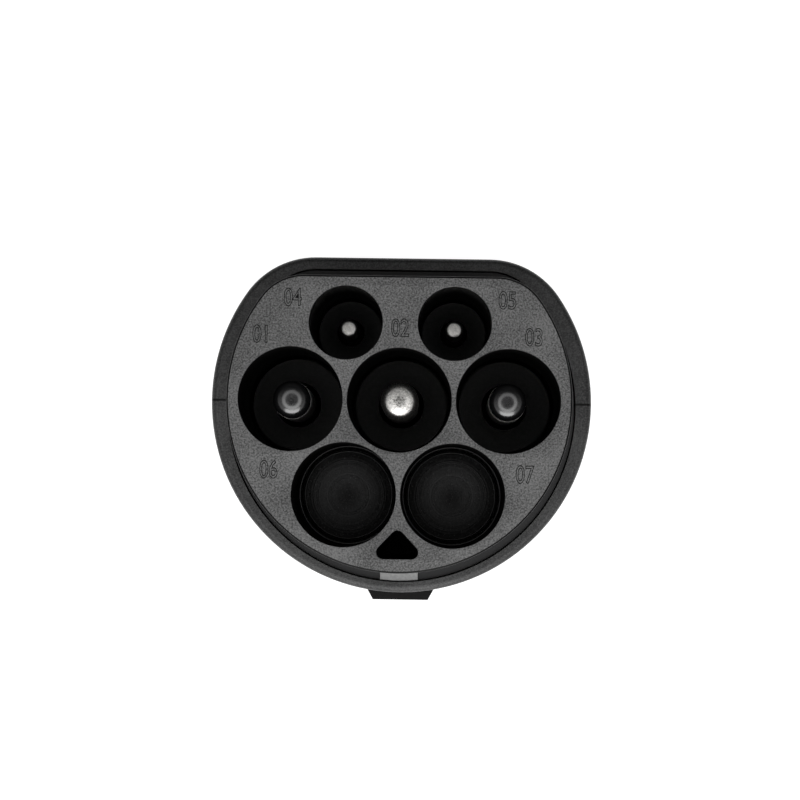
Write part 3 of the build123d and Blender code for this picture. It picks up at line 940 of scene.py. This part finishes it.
# Shell screws
# Four zinc plated steel screws come up from the underside and draw the shells together. Each
# has a rolled shank and a cold-pressed head with a six-sided socket, stopped at its own angle.
head_top_z, head_seat_z, shank_tip_z = 12.2, 10.0, -10.4
head_radius, head_edge = 2.6, 0.5
shank_radius, shank_lap, tip_taper, tip_length = 1.5, 0.3, 0.5, 0.8
socket_radius, socket_floor_z, socket_corner, socket_edge = 1.35, 11.0, 0.12, 0.1
screw_sizes = {"Gap Across": 51.4 * MM, "Gap Along": 15.0 * MM, "Middle": 58.0 * MM, "Seed": 4}

socket_sides = 6
socket_turns = [2 * math.pi / socket_sides * k for k in range(socket_sides)]
socket = rounded_polygon(
    [(socket_radius * math.cos(t), socket_radius * math.sin(t)) for t in socket_turns], socket_corner
)
head = pierced_block(
    "screw_head",
    round_outline(0, 0, head_radius),
    [socket],
    head_top_z,
    head_seat_z,
    head_edge,
    socket_edge,
    wall_finish=0,
    sunk=socket_floor_z,
)
shank_profile = [(0, shank_tip_z), (shank_radius - tip_taper, shank_tip_z)]
shank_profile += [(shank_radius, shank_tip_z + tip_length)]
shank_profile += [(shank_radius, head_seat_z + shank_lap), (0, head_seat_z + shank_lap)]
shank = turned("screw_shank", shank_profile, [(0, 0)])
bm = bmesh.new()
for part in (head, shank):
    bm.from_mesh(part.data)
    bpy.data.objects.remove(part)
screws = link_mesh("shell_screw_set", bm)

grid = bpy.data.node_groups.new("screws_at_four_corners", "GeometryNodeTree")
for name, way, kind in (
    ("Screw", "INPUT", "Geometry"),
    ("Gap Across", "INPUT", "Float"),
    ("Gap Along", "INPUT", "Float"),
    ("Middle", "INPUT", "Float"),
    ("Seed", "INPUT", "Int"),
    ("Screws", "OUTPUT", "Geometry"),
):
    grid.interface.new_socket(name=name, in_out=way, socket_type="NodeSocket" + kind)
given = grid.nodes.new("NodeGroupInput").outputs
corners = add_node(
    grid,
    "GeometryNodeMeshGrid",
    inputs={
        "Size X": given["Gap Across"],
        "Size Y": given["Gap Along"],
        "Vertices X": 2,
        "Vertices Y": 2,
    },
)
stopped_at = add_node(
    grid, "FunctionNodeRandomValue", inputs={2: 0.0, 3: 2 * math.pi, "Seed": given["Seed"]}
)
turn = add_node(grid, "ShaderNodeCombineXYZ", inputs={"Z": stopped_at.outputs[1]})
placed = add_node(
    grid,
    "GeometryNodeInstanceOnPoints",
    inputs={"Points": corners.outputs[0], "Instance": given["Screw"], "Rotation": turn.outputs[0]},
)
lift = add_node(grid, "ShaderNodeCombineXYZ", inputs={"Z": given["Middle"]})
driven_up = add_node(
    grid,
    "GeometryNodeTransform",
    inputs={
        "Geometry": placed.outputs[0],
        "Translation": lift.outputs[0],
        "Rotation": (math.pi / 2, 0, 0),
    },
)
real = add_node(grid, "GeometryNodeRealizeInstances", inputs={0: driven_up.outputs[0]})
zinced = add_node(
    grid, "GeometryNodeSetMaterial", inputs={"Geometry": real.outputs[0], "Material": zinc}
)
add_node(grid, "NodeGroupOutput", inputs={0: zinced.outputs[0]})

modifier = screws.modifiers.new("four", "NODES")
modifier.node_group = grid
for entry in grid.interface.items_tree:
    if entry.name in screw_sizes:
        modifier[entry.identifier] = screw_sizes[entry.name]
screws_mesh = bpy.data.meshes.new_from_object(
    screws.evaluated_get(bpy.context.evaluated_depsgraph_get())
)
screws.modifiers.clear()
screws.data = screws_mesh
finish(screws, zinc, "screw_steel", "shell_screws")


# Studio
# A dim studio over a white table. One large soft box stands in front of the plug's lower
# side, pale walls all round give the fill, and a ring light sits round the camera.
world = bpy.data.worlds.new("dim_studio")
bpy.context.scene.world = world
world.use_nodes = True
tree = world.node_tree
tree.nodes.clear()
direction = add_node(
    tree, "ShaderNodeSeparateXYZ", inputs={0: add_node(tree, "ShaderNodeTexCoord").outputs["Generated"]}
)
walls = add_node(
    tree,
    "ShaderNodeMapRange",
    {"interpolation_type": "SMOOTHSTEP"},
    {"Value": direction.outputs["Z"], "From Min": 0.72, "From Max": 0.97, "To Min": 1.0, "To Max": 0.03},
)
nearer = add_node(
    tree,
    "ShaderNodeMapRange",
    {"interpolation_type": "SMOOTHSTEP"},
    {"Value": direction.outputs["Y"], "From Min": -0.7, "From Max": 0.7, "To Min": 0.57, "To Max": 0.03},
)
fill = add_node(
    tree, "ShaderNodeMath", {"operation": "MULTIPLY"}, {0: walls.outputs[0], 1: nearer.outputs[0]}
)
outer = add_node(
    tree,
    "ShaderNodeMapRange",
    {"interpolation_type": "SMOOTHSTEP"},
    {"Value": direction.outputs["Z"], "From Min": 0.86, "From Max": 0.92, "To Max": 1.9},
)
inner = add_node(
    tree,
    "ShaderNodeMapRange",
    {"interpolation_type": "SMOOTHSTEP"},
    {"Value": direction.outputs["Z"], "From Min": 0.975, "From Max": 0.99, "To Min": 1.0, "To Max": 0.0},
)
brighter_in_front = add_node(
    tree,
    "ShaderNodeMapRange",
    {"interpolation_type": "SMOOTHSTEP"},
    {"Value": direction.outputs["Y"], "From Min": -0.4, "From Max": 0.4, "To Min": 1.3, "To Max": 0.5},
)
ring_light = add_node(
    tree,
    "ShaderNodeMath",
    {"operation": "MULTIPLY"},
    {0: outer.outputs[0], 1: brighter_in_front.outputs[0]},
)
glow = add_node(
    tree,
    "ShaderNodeMath",
    {"operation": "MULTIPLY_ADD"},
    {0: ring_light.outputs[0], 1: inner.outputs[0], 2: fill.outputs[0]},
)
air = add_node(
    tree, "ShaderNodeBackground", inputs={"Color": linear("#ffffff"), "Strength": glow.outputs[0]}
)
add_node(tree, "ShaderNodeOutputWorld", inputs={0: air.outputs[0]})


def seen_share(tree):
    """1 for what the camera sees, straight or in a reflection, and 0 for the light on the object."""
    rays = add_node(tree, "ShaderNodeLightPath")
    mirrored = add_node(
        tree,
        "ShaderNodeMath",
        {"operation": "MAXIMUM"},
        {0: rays.outputs["Is Glossy Ray"], 1: rays.outputs["Is Transmission Ray"]},
    )
    return add_node(
        tree,
        "ShaderNodeMath",
        {"operation": "MAXIMUM"},
        {0: rays.outputs["Is Camera Ray"], 1: mirrored.outputs[0]},
    ).outputs[0]


table_half = 3.0
bm = bmesh.new()
signs = ((-1, -1), (1, -1), (1, 1), (-1, 1))
bm.faces.new([bm.verts.new((x * table_half, y * table_half, 0)) for x, y in signs])
table_mesh = bpy.data.meshes.new("table")
bm.to_mesh(table_mesh)
bm.free()
table = bpy.data.objects.new("table", table_mesh)
bpy.context.scene.collection.objects.link(table)
table_white = bpy.data.materials.new("white_table_laminate")
table_white.use_nodes = True
tree = table_white.node_tree
tree.nodes.clear()
paper = add_node(tree, "ShaderNodeBsdfDiffuse", inputs={"Color": linear("#a0a0a0")})
white = add_node(tree, "ShaderNodeEmission", inputs={"Color": linear("#ffffff"), "Strength": 0.93})
dark = add_node(tree, "ShaderNodeEmission", inputs={"Strength": 0.0})
lifted = add_node(
    tree, "ShaderNodeMixShader", inputs={0: seen_share(tree), 1: dark.outputs[0], 2: white.outputs[0]}
)
total = add_node(tree, "ShaderNodeAddShader", inputs={0: paper.outputs[0], 1: lifted.outputs[0]})
add_node(tree, "ShaderNodeOutputMaterial", inputs={0: total.outputs[0]})
table_mesh.materials.append(table_white)

box_place, box_target = Vector((0.0, -0.4, 0.4)), Vector((0, 0, 0.08))
lamp = bpy.data.lights.new("front_box", "AREA")
lamp.shape = "SQUARE"
lamp.size = 0.45
lamp.energy = 2.2
box = bpy.data.objects.new("front_box", lamp)
box_turn = (box_target - box_place).to_track_quat("-Z", "Y")
box.matrix_world = Matrix.Translation(box_place) @ box_turn.to_matrix().to_4x4()
bpy.context.scene.collection.objects.link(box)

bpy.context.scene.view_settings.view_transform = "Standard"
